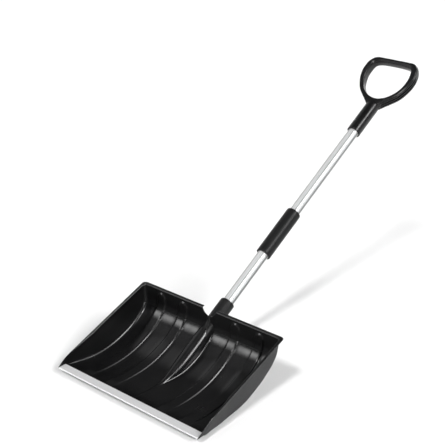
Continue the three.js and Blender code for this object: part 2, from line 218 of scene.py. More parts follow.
def turned(profile, segments, shape=None):
    """Points and faces of a turned shape on the Z axis, from closed [radius, height] pairs.
    shape(angle, radius, height) may give another radius."""
    points, rings, faces = [], [], []
    for radius, height in profile:
        if radius == 0:
            rings.append([len(points)] * segments)
            points.append((0, 0, height))
            continue
        ring = []
        for i in range(segments):
            angle = 2 * math.pi * i / segments
            r = shape(angle, radius, height) if shape else radius
            ring.append(len(points))
            points.append((r * math.cos(angle), r * math.sin(angle), height))
        rings.append(ring)
    closed = profile[0][0] > 0
    pairs = list(zip(rings, rings[1:])) + ([(rings[-1], rings[0])] if closed else [])
    for low, high in pairs:
        for i in range(segments):
            j = (i + 1) % segments
            corners = [low[i], low[j], high[j], high[i]]
            face = [c for n, c in enumerate(corners) if c != corners[n - 1]]
            if len(face) > 2:
                faces.append(face)
    return points, faces


def arc(centre, radius, start, end, steps):
    """Points round part of a circle; angles in degrees."""
    angles = np.radians(np.linspace(start, end, steps + 1))
    return [(centre[0] + radius * math.cos(a), centre[1] + radius * math.sin(a)) for a in angles]


def dome(radius, foot, height, steps):
    """Profile of a domed top of a turned shape, from its edge to its middle."""
    angles = np.linspace(0, math.pi / 2, steps)[:-1]
    edge = [(radius * math.cos(a), foot + height * math.sin(a)) for a in angles]
    return [*edge, (0, foot + height)]


def cut(target, *cutters, sharp=35):
    """Takes the cutters' shapes out of target and removes the cutters."""
    for cutter in cutters:
        modifier = target.modifiers.new("cut", "BOOLEAN")
        modifier.operation = "DIFFERENCE"
        modifier.solver = "EXACT"
        modifier.object = cutter
    bpy.context.view_layer.update()
    graph = bpy.context.evaluated_depsgraph_get()
    made = bpy.data.meshes.new_from_object(target.evaluated_get(graph))
    target.modifiers.clear()
    target.data = made
    for cutter in cutters:
        bpy.data.objects.remove(cutter)
    bm = bmesh.new()
    bm.from_mesh(made)
    weld(bm, math.radians(sharp))
    bm.to_mesh(made)
    bm.free()


def across_handle(points, at):
    """Turns a shape on the Z axis so that it points to the handle's underside."""
    return [(x, z, at - y) for x, y, z in points]


def cross_pin(radius, at, segments=32):
    """A round cutter square to the handle, through its underside."""
    profile = [(0, PIN_START), (radius, PIN_START), (radius, PIN_END), (0, PIN_END)]
    points, faces = turned(profile, segments)
    return mesh_object("pin", across_handle(points, at), faces, [])


def finish_piece(piece, body, slot, *nodes):
    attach(piece, body)
    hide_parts(*nodes)


def on_handle(piece, body, slot, *nodes):
    """Puts a piece that is drawn in the handle's frame on the handle."""
    piece.data.transform(HANDLE)
    finish_piece(piece, body, slot, *nodes)


# ---- Materials ----

class NodeTree:
    """A node tree that is built a node at a time."""

    def __init__(self, tree):
        self.tree = tree

    def node(self, kind, inputs=None, **settings):
        made = self.tree.nodes.new(kind)
        for key, value in settings.items():
            setattr(made, key, value)
        for key, value in (inputs or {}).items():
            if isinstance(value, bpy.types.NodeSocket):
                self.tree.links.new(value, made.inputs[key])
            else:
                made.inputs[key].default_value = value
        return made

    def remap(self, value, low, high, to_low, to_high, **settings):
        limits = {"From Min": low, "From Max": high, "To Min": to_low, "To Max": to_high}
        return self.node("ShaderNodeMapRange", {"Value": value, **limits}, **settings).outputs[0]

    def soft_remap(self, value, low, high, to_low, to_high):
        return self.remap(value, low, high, to_low, to_high, interpolation_type="SMOOTHSTEP")

    def maths(self, operation, a, b):
        return self.node("ShaderNodeMath", {0: a, 1: b}, operation=operation).outputs[0]


class Shader(NodeTree):
    """A node material around one Principled shader."""

    def __init__(self, name, **uniform):
        self.material = bpy.data.materials.new(name)
        self.material.use_nodes = True
        super().__init__(self.material.node_tree)
        self.principled = self.tree.nodes["Principled BSDF"]
        for socket, value in uniform.items():
            self.principled.inputs[socket.replace("_", " ")].default_value = value

    def coordinates(self, scale=(1, 1, 1), turn=(0, 0, 0)):
        source = self.node("ShaderNodeTexCoord").outputs["Object"]
        turned_back = self.node("ShaderNodeMapping", {"Vector": source, "Rotation": turn})
        return self.node(
            "ShaderNodeMapping", {"Vector": turned_back.outputs[0], "Scale": scale}
        ).outputs[0]

    def noise(self, vector, scale, detail=4.0, roughness=0.55):
        return self.node(
            "ShaderNodeTexNoise",
            {"Vector": vector, "Scale": scale, "Detail": detail, "Roughness": roughness},
        ).outputs[0]

    def colours(self, factor, dark, light):
        mix = self.node(
            "ShaderNodeMix", {0: factor, 6: (*dark, 1), 7: (*light, 1)}, data_type="RGBA"
        )
        return mix.outputs[2]

    def bump(self, height, strength, distance, before=None):
        inputs = {"Height": height, "Strength": strength, "Distance": distance}
        if before is not None:
            inputs["Normal"] = before
        return self.node("ShaderNodeBump", inputs).outputs[0]

    def die_lines_and_painted_reflections(self, lines):
        """How dark the tube's dark bands are, from the angle round the handle: a few long die
        lines, and painted reflections that darken the colour where the tube would mirror darker
        parts of the room.
        """
        centred = self.node(
            "ShaderNodeVectorMath",
            {0: self.node("ShaderNodeTexCoord").outputs["Object"], 1: tuple(MOUTH)},
            operation="SUBTRACT",
        ).outputs[0]
        upright = self.node("ShaderNodeMapping", {"Vector": centred, "Rotation": HANDLE_TURN})
        across, towards_under = self.node(
            "ShaderNodeSeparateXYZ", {0: upright.outputs[0]}
        ).outputs[:2]
        angle = self.maths("ARCTAN2", self.maths("MULTIPLY", towards_under, -1), across)
        total = 0.0
        for centre, half, depth in lines:
            away = self.maths("ABSOLUTE", self.maths("SUBTRACT", angle, math.radians(centre)), 0)
            line = self.soft_remap(away, 0, math.radians(half), depth, 0)
            total = self.maths("ADD", line, total)
        return total

    def set(self, socket, value):
        self.tree.links.new(value, self.principled.inputs[socket])


def moulded_plastic(name, dark, light, rough, grain, grain_depth, rubs=1.0, specular=0.5):
    """Black plastic: cloudy gloss from the mould, a fine grain, and a few pale rub marks."""
    s = Shader(name, Specular_IOR_Level=specular)
    here = s.coordinates()
    cloud = s.noise(here, 14, 5)
    speck = s.noise(here, 620, 2)
    rubbed = s.remap(s.noise(s.coordinates((260, 14, 60)), 1.0, 3), 0.62, 0.75, 0, rubs)
    shade = s.maths("ADD", s.maths("MULTIPLY", cloud, 0.6), s.maths("MULTIPLY", speck, 0.4))
    shade = s.maths("ADD", shade, s.maths("MULTIPLY", rubbed, 0.35))
    s.set("Base Color", s.colours(s.remap(shade, 0.3, 0.85, 0, 1), dark, light))
    gloss = s.remap(cloud, 0.3, 0.7, rough - 0.05, rough + 0.06)
    s.set("Roughness", s.maths("ADD", gloss, s.maths("MULTIPLY", rubbed, 0.08)))
    fine = s.bump(s.noise(here, grain, 3), grain_depth, 0.00025)
    s.set("Normal", s.bump(s.noise(here, 9, 2), 0.25, 0.0012, fine))
    return s.material


def drawn_metal(name, colour, rough, along, across, turn=(0, 0, 0), metallic=1.0, die_and_reflection_bands_round=()):
    """Metal with fine lines along one direction of its own frame: along and across are the
    scales of its long streaks and of its fine lines. The last argument adds broad dark bands along
    the handle, painted into the colour, a few of them die lines and the deepest painted
    reflections, as (angle round it, half width, depth) with both angles in degrees."""
    s = Shader(name, Metallic=metallic)
    lines = s.noise(s.coordinates(across, turn), 1.0, 3, 0.7)
    streaks = s.noise(s.coordinates(along, turn), 1.0, 4, 0.6)
    smudge = s.noise(s.coordinates(), 22, 4)
    shade = s.maths("ADD", s.maths("MULTIPLY", lines, 0.45), s.maths("MULTIPLY", streaks, 0.55))
    # painted reflection: dark bands darken the base colour at fixed angles round the handle,
    # together with a few die lines
    if die_and_reflection_bands_round:
        darkest = 0.12
        tint = s.maths("SUBTRACT", s.remap(shade, 0.35, 0.65, 0.8, 1), s.die_lines_and_painted_reflections(die_and_reflection_bands_round))
    else:
        darkest = 0.8
        tint = s.remap(shade, 0.35, 0.65, 0, 1)
    s.set("Base Color", s.colours(tint, tuple(darkest * c for c in colour), colour))
    gloss = s.maths("ADD", s.maths("MULTIPLY", shade, 0.16), s.maths("MULTIPLY", smudge, 0.1))
    s.set("Roughness", s.maths("ADD", gloss, rough - 0.13))
    s.set("Normal", s.bump(lines, 0.12, 0.00012))
    return s.material


INSIDE = moulded_plastic(
    "scoop_inside", (0.0015, 0.0015, 0.0017), (0.006, 0.006, 0.0064),
    rough=0.22, grain=420, grain_depth=0.08, rubs=0.3,
)
# painted shade: the inside walls take a darker, matte copy of the inside plastic, so that they
# look more in shade than the floor
INSIDE_WALLS_SHADED = moulded_plastic(
    "scoop_inside_walls_painted_shade", (0.001, 0.001, 0.0011), (0.004, 0.004, 0.0043),
    rough=0.48, grain=520, grain_depth=0.25, rubs=0.3, specular=0.16,
)
# painted highlight: the pips are pale grey, far lighter than the scoop's black plastic, so that
# they show as bright dots where glints fall
PIP_PAINTED_HIGHLIGHT = moulded_plastic(
    "scoop_pip_painted_highlight", (0.06, 0.06, 0.062), (0.16, 0.16, 0.163),
    rough=0.2, grain=420, grain_depth=0.08,
)
SOCKET_PLASTIC = moulded_plastic(
    "scoop_socket_plastic", (0.002, 0.002, 0.0022), (0.008, 0.008, 0.0084),
    rough=0.4, grain=700, grain_depth=0.2, specular=0.2,
)
OUTSIDE = moulded_plastic(
    "scoop_outside", (0.004, 0.004, 0.0042), (0.024, 0.024, 0.0246),
    rough=0.5, grain=900, grain_depth=0.6, specular=0.35,
)
GRIP_PLASTIC = moulded_plastic(
    "grip_plastic", (0.003, 0.003, 0.0032), (0.010, 0.010, 0.0104),
    rough=0.38, grain=700, grain_depth=0.25, specular=0.18,
)
D_GRIP_PLASTIC = moulded_plastic(
    "d_grip_plastic", (0.0015, 0.0015, 0.0017), (0.006, 0.006, 0.0063),
    rough=0.24, grain=700, grain_depth=0.12, rubs=0.4, specular=0.34,
)
TUBE_METAL = drawn_metal(
    "tube_aluminium", (0.64, 0.645, 0.65),
    rough=0.3, along=(210, 210, 1.2), across=(1500, 1500, 6), turn=HANDLE_TURN, metallic=0.35,
    # painted reflections: the broad deep band at 2° and the bands at 62° and 116° stand in for
    # dark reflections along the tube; the others are die lines
    die_and_reflection_bands_round=(
        (116, 14, 0.4), (62, 9, 0.5), (2, 27, 0.85),
        (-75, 10, 0.3), (-120, 20, 0.5), (168, 9, 0.3),
    ),
)
STRIP_METAL = drawn_metal(
    "strip_aluminium", (0.88, 0.885, 0.89),
    rough=0.42, along=(1.5, 240, 240), across=(7, 1800, 1800), metallic=0.5,
)
ZINC = drawn_metal(
    "zinc_steel", (0.62, 0.63, 0.65), rough=0.34, along=(90, 90, 90), across=(700, 700, 700)
)
SPRING_STEEL = drawn_metal(
    "spring_steel", (0.45, 0.46, 0.48),
    rough=0.3, along=(300, 300, 8), across=(1500, 1500, 20), turn=HANDLE_TURN,
)


# ---- Scoop: its side view, plan and rim ----

def rim_height(y):
    """Height of the side walls' top edge: a rounded nose at the lip, then a straight rise."""
    y = np.asarray(y, float)
    start_z, (pull_y, pull_z), (end_y, end_z) = RIM_NOSE
    bend = end_y - 2 * pull_y
    t = (np.sqrt(4 * pull_y**2 + 4 * bend * np.clip(y, 0, end_y)) - 2 * pull_y) / (2 * bend)
    nose = start_z * (1 - t) ** 2 + 2 * pull_z * t * (1 - t) + end_z * t * t
    rise = end_z + (np.minimum(y, BACK_WALL_Y) - end_y) * RIM_RISE / (BACK_WALL_Y - end_y)
    return np.where(y < end_y, nose, rise) + REAR_FLANGE_SLOPE * np.maximum(y - BACK_WALL_Y, 0)


# The side walls' feet in plan: (distance from the lip, half width).
plan_line = spline(
    [
        (0, 229.3), (22, 229.3), (60, 225.5), (93, 222),
        (120, 219.5), (180, 218), (240, 214.5), (300.5, 211),
    ],
    8,
)


def wall_x(y, z):
    """How far the side wall's inner face is from the middle plane."""
    return np.interp(y, plan_line[:, 0], plan_line[:, 1]) + SIDE_LEAN * np.asarray(z)


def scoop_profile():
    """Inner face of lip, floor and back wall on the middle plane, as dense (y, z) points."""
    belly = spline(
        [
            (24, -3.2), (40, -7.3), (60, -10.7), (85, -13.4), (118, -14.5), (150, -12.8),
            (185, -7), (220, 4.5), (251, 18.6), (281, 39.3),
        ],
        14,
    )
    t = np.linspace(0, 1, 30)[1:, None]
    crease, pull, foot = np.array([(281, 39.3), (304.8, 59), (306.2, 78)])
    bend = (1 - t) ** 2 * crease + 2 * t * (1 - t) * pull + t * t * foot
    lip = [(LIP_Y, -LIP_DROP), (20.8, -LIP_DROP), (22.4, -2.0)]
    top = float(rim_height(BACK_WALL_Y)) - RIM_ROUND
    return np.vstack([lip, belly, bend, [(WALL_TOP_Y, top)]])


def row_step(y, z):
    """Distance to the next row: rows are closer where the scoop has finer shapes."""
    if z > 74:  # the notch and the ribs' upper ends
        return 1.1
    if y > 240:  # the bend up to the back wall
        return 1.8
    if 95 < y < 165:  # the ridge's nose
        return 2.5
    return 4.5


def row_places(profile):
    """Where the scoop's rows of points cross its profile, as distances along it."""
    along = lengths(profile)
    lip_rows = [LIP_Y, 5, 10, 15, 19, 20.8, 22.1, 22.4, 24, 27]
    places = list(np.interp(lip_rows, profile[:, 0], along))
    while places[-1] < along[-1]:
        y, z = (np.interp(places[-1], along, profile[:, i]) for i in range(2))
        places.append(places[-1] + row_step(y, z))
    places[-1] = along[-1]
    if places[-1] - places[-2] < 0.5:
        del places[-2]
    return np.array(places)


def ridge_section(height, tilt, fillet, foot, count):
    """Half the section of the round ridge over the socket, as (x, rise) from its crown.
    height is the floor's height over the socket's axis, tilt the floor's slant to it, fillet
    the radius between ridge and floor, and foot the section's least half width."""
    crown = SOCKET_RADIUS - height
    crown = 0.5 * (crown + math.hypot(crown, RIDGE_TAPER))
    full = smoothstep(0, RIDGE_NOSE_HEIGHT, crown)
    radius = RIDGE_NOSE_RADIUS + full * (SOCKET_RADIUS - RIDGE_NOSE_RADIUS)
    fillet *= 0.4 + 0.6 * full
    centre = crown - radius
    reach = radius + fillet
    if crown < 0.3:
        return np.column_stack([np.linspace(0, foot, count), np.zeros(count)])
    if centre <= fillet:
        meet = math.asin((fillet - centre) / reach)
        edge = math.sqrt(reach**2 - (centre - fillet) ** 2)
        flank = []
    else:
        meet = 0
        edge = reach
        flank = [(radius, q) for q in np.linspace(centre, fillet, 9)[1:-1]]
    meet = math.degrees(meet)
    line = arc((0, centre), radius, 90, meet, 30) + flank
    line += arc((edge, fillet), fillet, 180 + meet, 270, 14)
    if edge < foot:
        line.append((foot, 0))
    line = np.array(line)
    line[:, 1] /= tilt
    return respaced(line, count)


# Columns of points across half the scoop: over the ridge, in the corner and up the side wall.
RIDGE_COLUMNS = 40
FILLET_COLUMNS = 8
WALL_COLUMNS = 9


def rib_columns(centre):
    """Places across one rib, closest together on its shoulders."""
    slope = np.linspace(RIB_HALF + 1, RIB_HALF - RIB_SHOULDER - 1, 11)
    half = np.concatenate([slope, [8.8, 6, 3]])
    return centre + np.concatenate([-half, [0], half[::-1]])


def scoop_columns():
    """Places across the flat floor between the ridge and the corner fillet."""
    first, second = (rib_columns(c) for c in RIB_CENTRES)
    return np.concatenate([
        np.linspace(40, first[0], 4)[:-1],
        first,
        np.linspace(first[-1], second[0], 5)[1:-1],
        second,
        [186, 195],
    ])


def soft_ramp(distance):
    """The distance where it is above 0, and else 0, with the bend between them rounded."""
    return 0.5 * (distance + np.hypot(distance, RIB_SOFTNESS))


def rib_rise(x, along, rib_end, y):
    """How far the ribs stand up from the floor: flat sloped shoulders and a round far end."""
    rise = np.zeros_like(x)
    for centre in RIB_CENTRES:
        past = max(along - rib_end, 0)
        inside = RIB_HALF - np.hypot(x - centre, past)
        rise += (soft_ramp(inside) - soft_ramp(inside - RIB_SHOULDER)) * RIB_HEIGHT / RIB_SHOULDER
    return rise * smoothstep(25, 52, y)


def section_offset(section, distance):
    """The section moved down and outwards by a distance, square to itself."""
    mirrored = np.vstack([[(-section[1, 0], section[1, 1])], section, [section[-1] + (0, 1)]])
    step = mirrored[2:] - mirrored[:-2]
    step /= np.hypot(*step.T)[:, None]
    return section + distance * np.column_stack([step[:, 1], -step[:, 0]])


def profile_slopes(profile, along):
    """Distances along the profile, and the smoothed y and z parts of its slope there."""
    side = np.linspace(0, along[-1], 900)
    reach = 12
    kernel = np.exp(-0.5 * (np.arange(-reach, reach + 1) / 5) ** 2)
    kernel /= kernel.sum()
    slopes = []
    for i in range(2):
        fine = np.interp(side, along, profile[:, i])
        padded = np.pad(np.gradient(fine, side), reach, mode="edge")
        slopes.append(np.convolve(padded, kernel, "valid"))
    return side, slopes


def ridge_fillet(y, z):
    """Radius between the ridge and the floor, smaller towards and up the back wall."""
    return 8 - 4 * smoothstep(240, 281, y) - 2.4 * smoothstep(50, 72, z)


def corner_radius(y):
    """Radius between the floor and the side wall: sharp at the lip, largest at the back."""
    return 0.5 + 7.5 * smoothstep(20, 60, y) + smoothstep(281, 306, y)


def scoop_rows():
    """Right half of the inner and outer faces: arrays of rows by columns by (x, y, z)."""
    profile = scoop_profile()
    along = lengths(profile)
    places = row_places(profile)
    side, slopes = profile_slopes(profile, along)
    rib_end = along[-1] - (profile[-1, 1] - RIB_TOP) - RIB_HALF
    axis = (MOUTH - LIP) / MM
    inner, outer = [], []
    floor_x = scoop_columns()
    turns = np.linspace(0, math.pi / 2, FILLET_COLUMNS)
    climb = np.linspace(0, 1, WALL_COLUMNS + 1)[1:]
    for place in places:
        y, z = (np.interp(place, along, profile[:, i]) for i in range(2))
        tangent = np.array([np.interp(place, side, s) for s in slopes])
        tangent /= np.hypot(*tangent)
        normal = np.array([-tangent[1], tangent[0]])
        height = (z - axis.z) * HANDLE_UP.y - (y - axis.y) * HANDLE_UP.z
        tilt = normal[1] * HANDLE_UP.y - normal[0] * HANDLE_UP.z
        on_back = y > BACK_WALL_FOOT_Y
        foot = np.interp(z, *zip((84, RIDGE_FOOT), *NOTCH)) if on_back else RIDGE_FOOT
        ridge = ridge_section(height, tilt, ridge_fillet(y, z), foot, RIDGE_COLUMNS)
        corner = corner_radius(y)
        corner_x = float(wall_x(y, z))
        bend_x = corner_x - corner + corner * np.sin(turns)
        bend_rise = corner - corner * np.cos(turns)
        plain = np.vstack([
            ridge,
            np.column_stack([floor_x, np.zeros_like(floor_x)]),
            np.column_stack([bend_x, bend_rise]),
        ])
        sheet = LIP_SHEET if y < LIP_END_Y else WALL
        backed = section_offset(plain, sheet)
        ribbed = plain.copy()
        ribbed[:, 1] += rib_rise(plain[:, 0], place, rib_end, y)
        share = max(z - BACK_WALL_Z, 0) / (profile[-1, 1] - BACK_WALL_Z) if on_back else 0
        rim_y = place / along[-1] * (WALL_TOP_Y - BASIN_CORNER)
        rim_z = max(float(rim_height(rim_y)) - RIM_ROUND, WALL_LOWEST)
        for rows, section, out in ((inner, ribbed, 0), (outer, backed, WALL)):
            rise = section[:, 1]
            points = np.column_stack([section[:, 0], y + normal[0] * rise, z + normal[1] * rise])
            bend = slice(-FILLET_COLUMNS, None)
            points[bend, 0] += SIDE_LEAN * (points[bend, 2] - z)
            fall = rim_height(BACK_WALL_Y) - rim_height(y + normal[0] * bend_rise)
            points[bend, 2] -= share * (fall + normal[1] * bend_rise)
            end = y + normal[0] * bend_rise[-1], points[-1, 2]
            wall_y = end[0] + (rim_y - end[0]) * climb
            wall_z = end[1] + (rim_z - end[1]) * climb
            wall_out = np.minimum(wall_x(wall_y, wall_z) + out, RIM_HALF)
            wall = np.column_stack([wall_out, wall_y, wall_z])
            rows.append(np.vstack([points, wall]))
    inner, outer = np.array(inner), np.array(outer)
    outer[-1, :, 2] = inner[-1, :, 2]
    return inner, outer


def rim_section(inside, flange, wall):
    """The rim's section from the inner wall over the flange and back to the outer wall."""
    width = math.hypot(flange[0] - inside[0], flange[1] - inside[1])
    high = max(float(rim_height(inside[1])), RIM_LOWEST)
    tall = high - inside[2]
    round_in = min(RIM_ROUND, 0.45 * width)
    droop = min(RIM_DROOP, 0.2 * tall)
    edge = min(RIM_EDGE, 0.42 * (tall - droop))
    line = [
        (round_in * (1 - math.cos(a)), tall * (math.sin(a) - 1))
        for a in np.radians((15, 30, 45, 60, 75, 90))
    ]
    line += [(0.5 * (round_in + width - edge), -0.4 * droop)]
    line += arc((width - edge, -droop - edge), edge, 90, -90, 6)
    shelf = min(WALL + 0.9, width)
    line += [(shelf, -droop - 2 * edge - 0.05)]
    made = []
    for n, (across, lift) in enumerate(line):
        if n >= RIM_TOP_POINTS:
            across = max(across, min(WALL, width))
        share = across / width
        x = inside[0] + share * (flange[0] - inside[0])
        y = inside[1] + share * (flange[1] - inside[1])
        slope = float(rim_height(y) - rim_height(inside[1]))
        made.append((x, y, high + slope + lift))
    return [tuple(inside), *made, tuple(wall)]


def flange_places(inner):
    """For each point on the rim's inner edge, from the lip round to the notch: its row and
    column, and the place of the flange's outer edge beside it."""
    rows, columns = inner.shape[:2]
    places = []
    stretch = (RIM_REAR_Y - RIM_CORNER) / inner[-1, -1, 1]
    for row in range(rows):
        places.append((row, columns - 1, (RIM_HALF, inner[row, -1, 1] * stretch)))
    centre = (RIM_HALF - RIM_CORNER, RIM_REAR_Y - RIM_CORNER)
    bend_end = columns - 1 - WALL_COLUMNS
    for step in range(FILLET_COLUMNS):
        angle = math.pi / 2 * step / (FILLET_COLUMNS - 1)
        edge = (centre[0] + RIM_CORNER * math.cos(angle), centre[1] + RIM_CORNER * math.sin(angle))
        places.append((rows - 1, bend_end - step, edge))
    bend_start = bend_end - FILLET_COLUMNS + 1
    for column in range(bend_start - 1, RIDGE_COLUMNS - 2, -1):
        x = inner[-1, column, 0] * centre[0] / inner[-1, bend_start, 0]
        places.append((rows - 1, column, (x, RIM_REAR_Y)))
    return places


# The scoop's finishes, in the order of its materials.
SHINY_INSIDE = 0
GRAINED_OUTSIDE = 1
# the inside walls' finish is the darker copy, with painted shade
MATTE_SHADED_INSIDE = 2


def make_scoop():
    inner, outer = scoop_rows()
    rows, columns = inner.shape[:2]
    notch_row = int(np.argmax(inner[:, RIDGE_COLUMNS, 2] > NOTCH[0][0]))
    points, faces, looks = [], [], []

    def add(new_points):
        start = len(points)
        points.extend(map(tuple, new_points))
        return start

    def face(corners, look):
        faces.append(corners)
        looks.append(look)

    def index(start, row, column):
        return start + row * columns + column

    def bridge(start_in, start_out, cells):
        """Closes the gap between the inner and outer face along a line of points."""
        for a, b in zip(cells, cells[1:]):
            face([
                index(start_in, *a), index(start_in, *b),
                index(start_out, *b), index(start_out, *a),
            ], SHINY_INSIDE)

    for side in (1, -1):
        flip = np.array([side, 1, 1])
        start_in = add((inner * flip).reshape(-1, 3))
        start_out = add((outer * flip).reshape(-1, 3))
        for row in range(rows - 1):
            for column in range(columns - 1):
                if row >= notch_row and column < RIDGE_COLUMNS - 1:
                    continue
                on_side = column >= columns - WALL_COLUMNS - 2
                # faces on the side walls and high on the back wall take the matte finish with
                # painted shade
                matte_shaded = on_side or inner[row, RIDGE_COLUMNS, 2] > MATTE_ABOVE
                inside_look = MATTE_SHADED_INSIDE if matte_shaded else SHINY_INSIDE
                for start, look in ((start_in, inside_look), (start_out, GRAINED_OUTSIDE)):
                    face([
                        index(start, row, column), index(start, row, column + 1),
                        index(start, row + 1, column + 1), index(start, row + 1, column),
                    ], look)
        lip = [(0, column) for column in range(columns)]
        notch_foot = [(notch_row, column) for column in range(RIDGE_COLUMNS)]
        notch_side = [(row, RIDGE_COLUMNS - 1) for row in range(notch_row, rows)]
        for cells in (lip, notch_foot, notch_side):
            bridge(start_in, start_out, cells)
        previous = None
        sections = []
        for row, column, flange in flange_places(inner):
            section = rim_section(inner[row, column], flange, outer[row, column])
            start = add(np.array(section) * flip)
            here = list(range(start, start + len(section)))
            sections.append(here)
            if previous:
                for n, corners in enumerate(zip(previous, previous[1:], here[1:], here)):
                    face(corners, SHINY_INSIDE if n < RIM_TOP_POINTS else GRAINED_OUTSIDE)
            previous = here
        face(sections[0], SHINY_INSIDE)
        face(sections[-1], SHINY_INSIDE)
    finishes = [INSIDE, OUTSIDE, INSIDE_WALLS_SHADED]
    scoop = mesh_object("scoop_body", points, faces, finishes, looks, sharp=50)
    scoop.location = LIP
    return scoop


def fluted(angle, radius, height):
    """Radius of the socket: its bare end has fine flutes on the outside."""
    if radius < SOCKET_RADIUS - 1:
        return radius
    bare = smoothstep(-84, -76, height) * (1 - smoothstep(-9, -5, height))
    return radius - FLUTE_DEPTH * bare * (0.5 - 0.5 * math.cos(FLUTES * angle)) ** 2


def make_socket():
    outside = SOCKET_RADIUS - 0.05
    bore = TUBE_RADIUS + GAP
    bottom = -SOCKET_DEPTH - WALL
    stations = (-100, -90, -84, -81, -78, -75, -60, -40, -20, -9, -7, -5, -4)
    body = [(0, bottom), (outside - 0.6, bottom), (outside, bottom + 0.6)]
    body += [(outside, at) for at in stations]
    body += arc((outside - 3, -3), 3, 0, 90, 6)[1:]
    body += [(bore + 0.8, 0), (bore + 0.2, -0.25), (bore, -0.9)]
    body += [(bore, -SOCKET_DEPTH), (0, -SOCKET_DEPTH)]
    points, faces = turned(body, 180, fluted)
    socket = mesh_object("scoop_socket", points, faces, [SOCKET_PLASTIC])
    cut(socket, cross_pin(BUTTON_HOLE, SOCKET_BUTTON_AT, 48))
    return socket


def make_pips():
    """Round pips at the ribs' upper ends on the back wall, coloured pale grey as painted
    highlights.
    """
    section = [(0, -1), (PIP_RADIUS, -1), *dome(PIP_RADIUS, 0, PIP_HEIGHT, 8)]
    points, faces = [], []
    wall_y = BACK_WALL_Y - 0.5
    for centre in RIB_CENTRES:
        for side in (1, -1):
            pip, pip_faces = turned(section, 28)
            faces += [[len(points) + i for i in f] for f in pip_faces]
            points += [(side * centre + x, wall_y - z, RIB_TOP - 3 + y) for x, y, z in pip]
    pips = mesh_object("scoop_pips", points, faces, [PIP_PAINTED_HIGHLIGHT])
    pips.location = LIP
    return pips


finish_piece(make_scoop(), "shovel", "scoop_plastic", "scoop")
finish_piece(make_pips(), "shovel", "scoop_plastic", "scoop")
on_handle(make_socket(), "shovel", "scoop_plastic", "scoop")


# ---- Wear strip and its rivets ----

def make_strip():
    half = strip_high.x / MM
    low = (strip_low.z - strip_high.z) / MM
    fold = 1.3
    bevel = 0.15
    outline = [(STRIP_DEPTH - bevel, 0), (fold + 0.2, 0)]
    outline += arc((fold, -fold), fold, 90, 180, 6)
    outline += arc((fold, low + fold), fold, 180, 270, 6)
    outline += [(STRIP_DEPTH - bevel, low), (STRIP_DEPTH, low + bevel)]
    outline += [(STRIP_DEPTH, low + STRIP_SHEET)]
    outline += arc((fold, low + fold), fold - STRIP_SHEET, 270, 180, 4)
    outline += arc((fold, -fold), fold - STRIP_SHEET, 180, 90, 4)
    outline += [(STRIP_DEPTH, -STRIP_SHEET), (STRIP_DEPTH, -bevel)]
    middle = np.linspace(-half + 4, half - 4, 48)
    stations = np.concatenate([[-half, -half + 0.2], middle, [half - 0.2, half]])
    points, faces = [], []
    count = len(outline)
    for x in stations:
        points += [(x, y, z) for y, z in outline]
    for n in range(len(stations) - 1):
        for i in range(count):
            j = (i + 1) % count
            faces.append([n * count + i, n * count + j, (n + 1) * count + j, (n + 1) * count + i])
    faces.append(list(range(count)))
    faces.append(list(range(len(points) - count, len(points))))
    strip = mesh_object("wear_strip_folded", points, faces, [STRIP_METAL])
    strip.location = LIP
    return strip


def make_strip_rivet(name, node):
    low, high = ((corner - LIP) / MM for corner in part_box(node))
    middle = 0.5 * (low + high)
    head = [(0, 0), (1.4, 0), (2.4, 0.12), (3.1, 0.4), (3.4, 0.75), (3.4, 1), (1.5, 1)]
    profile = [(radius, low.z + height) for radius, height in head]
    profile += [(1.5, high.z), (0, high.z)]
    points, faces = turned(profile, 40)
    placed = [(x + middle.x, y + middle.y, z) for x, y, z in points]
    rivet = mesh_object(name, placed, faces, [STRIP_METAL])
    rivet.location = LIP
    return rivet


finish_piece(make_strip(), "shovel", "strip_aluminium", "wear_strip")
for number in range(1, 6):
    node = f"strip_rivet_{number}"
    rivet = make_strip_rivet(f"rivet_{number}", node)
    finish_piece(rivet, "shovel", "strip_aluminium", node)


# ---- Tubes, sleeve, screws and buttons ----

def make_tube(name, start, end, *cutters):
    inside = TUBE_RADIUS - TUBE_WALL
    edge = 0.3
    stations = np.linspace(start + edge, end - edge, 30)
    body = [(inside, start), (TUBE_RADIUS - edge, start)]
    body += [(TUBE_RADIUS, at) for at in stations]
    body += [(TUBE_RADIUS - edge, end), (inside, end)]
    points, faces = turned(body, 96)
    tube = mesh_object(name, points, faces, [TUBE_METAL])
    cut(tube, *cutters)
    return tube


def screw_hole(at):
    return cross_pin(SCREW_RADIUS + GAP, at)


def make_sleeve():
    inside = TUBE_RADIUS + GAP
    body = [(inside, SLEEVE_START + 0.4), (inside + 0.4, SLEEVE_START)]
    body += arc((SLEEVE_RADIUS - 1.2, SLEEVE_START + 1.2), 1.2, 270, 360, 4)
    body += [(SLEEVE_RADIUS, at) for at in np.linspace(SLEEVE_START + 4, SLEEVE_END - 6, 24)]
    body += arc((SLEEVE_RADIUS - 3.5, SLEEVE_END - 3.5), 3.5, 0, 90, 7)
    body += [(inside + 0.4, SLEEVE_END), (inside, SLEEVE_END - 0.4)]
    points, faces = turned(body, 120)
    sleeve = mesh_object("sleeve", points, faces, [GRIP_PLASTIC])
    cut(sleeve, cross_pin(BUTTON_HOLE, SLEEVE_BUTTON_AT, 48), screw_hole(SLEEVE_SCREW_AT))
    return sleeve


